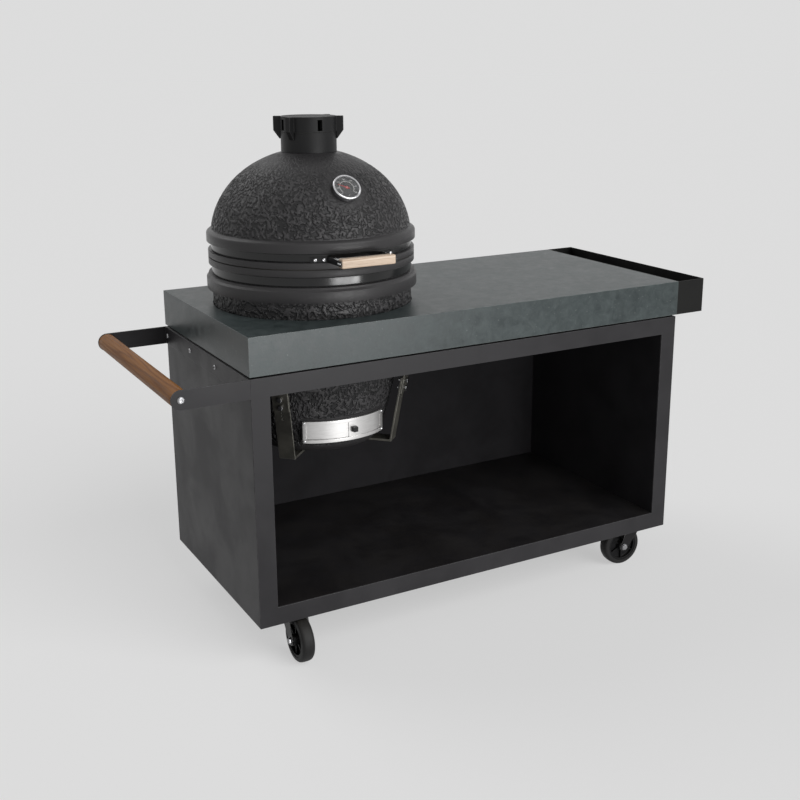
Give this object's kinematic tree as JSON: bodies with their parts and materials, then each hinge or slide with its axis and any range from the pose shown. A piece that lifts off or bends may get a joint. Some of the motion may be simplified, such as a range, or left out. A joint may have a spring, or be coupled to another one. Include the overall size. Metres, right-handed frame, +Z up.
{
  "type": "kamado grill table",
  "caption": "Rolling outdoor table with a ceramic kamado grill hung in its worktop, an open bay below, a wooden push bar on the left and a planter tray on the right.",
  "frame": {"origin": "on the floor under the middle of the outer box", "axes": "+X to the right along the front, +Y to the back, +Z up"},
  "size_m": [1.6454, 0.707, 1.393],
  "materials": {
    "worktop_slab": "satin sintered stone, dark petrol grey with cloudy mottling",
    "powder_coat": "fine matte charcoal powder coat",
    "planter_coat": "matte black-brown powder coat",
    "oiled_wood": "oiled hardwood with long grain",
    "handle_wood": "oiled oak with long grain",
    "dark_bolts": "black bolts and screws",
    "kamado_ceramic": "matte charcoal glaze with a raised crawled relief and smooth rims",
    "felt": "black heat-proof felt",
    "gloss_band": "glossy black steel band",
    "fire_clay": "bare sandy fire clay",
    "grate_iron": "black cast iron",
    "grate_steel": "stainless rod",
    "stainless": "bright brushed stainless",
    "bracket_black": "satin black steel",
    "chrome": "bright zinc and chrome fasteners",
    "dial_face": null,
    "needle_red": "red pointer",
    "lens_glass": "clear glass",
    "vent_iron": "satin black cast iron",
    "hanger_steel": "dark olive-grey steel strap",
    "caster_steel": "black coated pressed steel",
    "tyre_rubber": "black rubber",
    "hub_plastic": "black moulded plastic"
  },
  "bodies": {
    "table": {"back_panel": "powder_coat", "bowl_band": "gloss_band", "bowl_gasket": "felt", "cabinet_fasteners": "dark_bolts", "cabinet_rails": "powder_coat", "cabinet_top_panel": "powder_coat", "caster_bolts": "caster_steel", "caster_plates": "caster_steel", "charcoal_grate": "grate_iron", "cooking_grate": "grate_steel", "draft_frame": "stainless", "fire_box": "fire_clay", "fire_ring": "fire_clay", "floor_panel": "powder_coat", "front_frame": "powder_coat", "hanger_lower_brackets": "hanger_steel", "hanger_upper_straps": "hanger_steel", "hinge_bowl_bracket": "bracket_black", "hinge_pin": "chrome", "kamado_bowl": "kamado_ceramic", "kamado_fasteners": "chrome", "left_side_panel": "powder_coat", "planter_tray": "planter_coat", "push_handle_bar": "oiled_wood", "push_handle_bracket": "powder_coat", "right_side_panel": "powder_coat", "worktop_aprons": "worktop_slab", "worktop_plate": "worktop_slab", "worktop_subframe": "powder_coat"},
    "lid": {"kamado_lid": "kamado_ceramic", "lid_gasket": "felt", "lid_band": "gloss_band", "lid_handle_brackets": "bracket_black", "lid_handle_bar": "handle_wood", "lid_bolts": "chrome", "thermometer_case": "chrome", "thermometer_dial": "dial_face", "thermometer_lens": "lens_glass", "vent_collar": "vent_iron", "hinge_lid_bracket": "bracket_black"},
    "vent_cap": {"vent_cap": "vent_iron"},
    "thermometer_needle": {"thermometer_needle": "needle_red"},
    "draft_door": {"draft_door": "stainless", "draft_door_knob": "bracket_black"},
    "fork_front_left": {"caster_fork_front_left": "caster_steel", "caster_axle_front_left": "chrome"},
    "wheel_front_left": {"caster_tyre_front_left": "tyre_rubber", "caster_hub_front_left": "hub_plastic"},
    "fork_front_right": {"caster_fork_front_right": "caster_steel", "caster_axle_front_right": "chrome"},
    "wheel_front_right": {"caster_tyre_front_right": "tyre_rubber", "caster_hub_front_right": "hub_plastic"},
    "fork_rear_left": {"caster_fork_rear_left": "caster_steel", "caster_axle_rear_left": "chrome"},
    "wheel_rear_left": {"caster_tyre_rear_left": "tyre_rubber", "caster_hub_rear_left": "hub_plastic"},
    "fork_rear_right": {"caster_fork_rear_right": "caster_steel", "caster_axle_rear_right": "chrome"},
    "wheel_rear_right": {"caster_tyre_rear_right": "tyre_rubber", "caster_hub_rear_right": "hub_plastic"}
  },
  "joints": [
    {"name": "lid_hinge", "type": "hinge", "parent": "table", "child": "lid", "pos_m": [-0.30025, 0.3415, 1.03], "axis": [-1, 0, 0], "range_deg": [0, 70]},
    {"name": "vent_cap_turn", "type": "hinge", "parent": "lid", "child": "vent_cap", "pos_m": [-0.30025, 0.0215, 1.39301], "axis": [0, 0, 1], "range_deg": [0, 45]},
    {"name": "thermometer_pointer", "type": "hinge", "parent": "lid", "child": "thermometer_needle", "pos_m": [-0.30025, -0.20203, 1.2254], "axis": [0, -0.7501, 0.6613], "range_deg": [-190, 70]},
    {"name": "draft_door_slide", "type": "hinge", "parent": "table", "child": "draft_door", "pos_m": [-0.30025, 0.0215, 0.58], "axis": [0, 0, -1], "range_deg": [0, 29]},
    {"name": "swivel_front_left", "type": "hinge", "parent": "table", "child": "fork_front_left", "pos_m": [-0.50625, -0.2435, 0.158], "axis": [0, 0, 1], "continuous": true},
    {"name": "roll_front_left", "type": "hinge", "parent": "fork_front_left", "child": "wheel_front_left", "pos_m": [-0.50625, -0.291, 0.0625], "axis": [1, 0, 0], "continuous": true},
    {"name": "swivel_front_right", "type": "hinge", "parent": "table", "child": "fork_front_right", "pos_m": [0.65675, -0.2435, 0.158], "axis": [0, 0, 1], "continuous": true},
    {"name": "roll_front_right", "type": "hinge", "parent": "fork_front_right", "child": "wheel_front_right", "pos_m": [0.60943, -0.23936, 0.0625], "axis": [-0.0872, -0.9962, 0], "continuous": true},
    {"name": "swivel_rear_left", "type": "hinge", "parent": "table", "child": "fork_rear_left", "pos_m": [-0.50625, 0.2665, 0.158], "axis": [0, 0, 1], "continuous": true},
    {"name": "roll_rear_left", "type": "hinge", "parent": "fork_rear_left", "child": "wheel_rear_left", "pos_m": [-0.47901, 0.22759, 0.0625], "axis": [0.8192, 0.5736, 0], "continuous": true},
    {"name": "swivel_rear_right", "type": "hinge", "parent": "table", "child": "fork_rear_right", "pos_m": [0.65675, 0.2665, 0.158], "axis": [0, 0, 1], "continuous": true},
    {"name": "roll_rear_right", "type": "hinge", "parent": "fork_rear_right", "child": "wheel_rear_right", "pos_m": [0.633, 0.22536, 0.0625], "axis": [0.866, -0.5, 0], "continuous": true}
  ]
}
